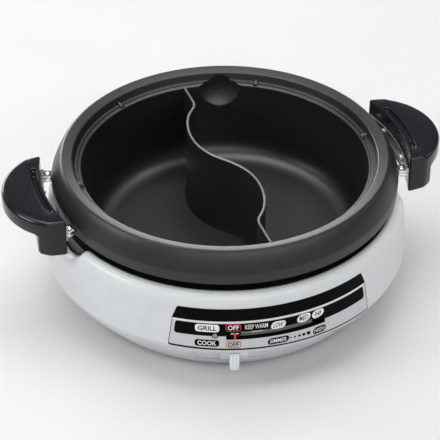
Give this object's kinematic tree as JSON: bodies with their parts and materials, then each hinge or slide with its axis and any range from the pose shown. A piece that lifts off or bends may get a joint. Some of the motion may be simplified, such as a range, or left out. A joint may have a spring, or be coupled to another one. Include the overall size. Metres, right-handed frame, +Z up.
{
  "type": "divided electric hot pot",
  "caption": "Round electric hot pot: base with slide thermostat and sprung sensor, lift-out pan with S-shaped divider, lid ledges, ladle scoops and two side grips. No lid.",
  "frame": {"origin": "on the table under the pot axis, at the middle of the feet plane", "axes": "+Z up; the control panel faces -Y; the grips lie along X"},
  "size_m": [0.474, 0.3889, 0.1586],
  "materials": {
    "shell_white": "satin off-white moulding",
    "lever_white": "satin off-white moulding",
    "cover_grey": "matte dark moulding",
    "black_plastic": "matte black moulding",
    "foot_rubber": "matte",
    "steel": "zinc plated",
    "guard_black": "matt black enamel",
    "reflector": "bright rolled",
    "element": "oxidised sheath",
    "bead": "glazed",
    "label": "silver print with black bands",
    "strip": "grey-green strip",
    "lens": "unlit lamp lens",
    "brass_pin": "nickel-tinted",
    "wire_red": "sleeved wire",
    "bakelite": "moulded phenolic",
    "spindle": "turned",
    "nylon": "moulded",
    "needle_red": "red",
    "pan_coating": "dark speckled nonstick coating",
    "grip_black": "glossy phenolic",
    "chrome": "polished"
  },
  "bodies": {
    "base": {"housing_shell": "shell_white", "bottom_cover": "cover_grey", "rubber_feet": "foot_rubber", "cover_screws": "steel", "heat_guard": "guard_black", "reflector_dish": "reflector", "reflector_screws": "steel", "heating_element": "element", "element_clips": "steel", "terminal_beads": "bead", "pan_rests": "steel", "sensor_sleeve": "reflector", "sensor_spring": "steel", "label_plate": "label", "scale_strip": "strip", "lamp_lens": "lens", "lamp_holder": "black_plastic", "inlet_block": "black_plastic", "inlet_pins": "brass_pin", "inlet_plate": "steel", "terminal_block": "bead", "supply_wires": "wire_red", "thermostat_case": "bakelite", "thermostat_leads": "wire_red", "thermal_fuse": "brass_pin", "fuse_clip": "steel", "pivot_screw": "steel"},
    "lever": {"lever_arm": "steel", "lever_knob": "lever_white", "pointer_bracket": "black_plastic", "pointer_needle": "needle_red", "lever_screws": "steel"},
    "thermostat_spindle": {"thermostat_shaft": "spindle", "thermostat_pinion": "nylon"},
    "sensor": {"sensor_cup": "reflector", "sensor_clip": "steel"},
    "pan": {"pan_shell": "pan_coating", "pan_divider": "pan_coating", "grip_left": "grip_black", "grip_right": "grip_black", "bracket_left": "chrome", "bracket_right": "chrome", "lug_screws": "chrome", "bracket_screws": "steel", "grip_screws": "steel"}
  },
  "joints": [
    {"name": "lever_swing", "type": "hinge", "parent": "base", "child": "lever", "pos_m": [0, 0, 0.019], "axis": [0, 0, 1], "range_deg": [0, 26.4]},
    {"name": "thermostat_turn", "type": "hinge", "parent": "base", "child": "thermostat_spindle", "pos_m": [-0.02463, 0.06766, 0.019], "axis": [0, 0, 1], "range_deg": [-132, 0]},
    {"name": "sensor_press", "type": "slide", "parent": "base", "child": "sensor", "axis": [0, 0, 1], "range_m": [-0.003, 0], "stiffness_N_per_m": 400, "springref_m": 0.003, "deforming": ["sensor_spring"]},
    {"name": "pan_lift", "type": "slide", "parent": "base", "child": "pan", "axis": [0, 0, 1], "range_m": [0, 0.12]}
  ],
  "couplings": [
    {"joint": "thermostat_turn", "follows": "lever_swing", "ratio": -5}
  ]
}
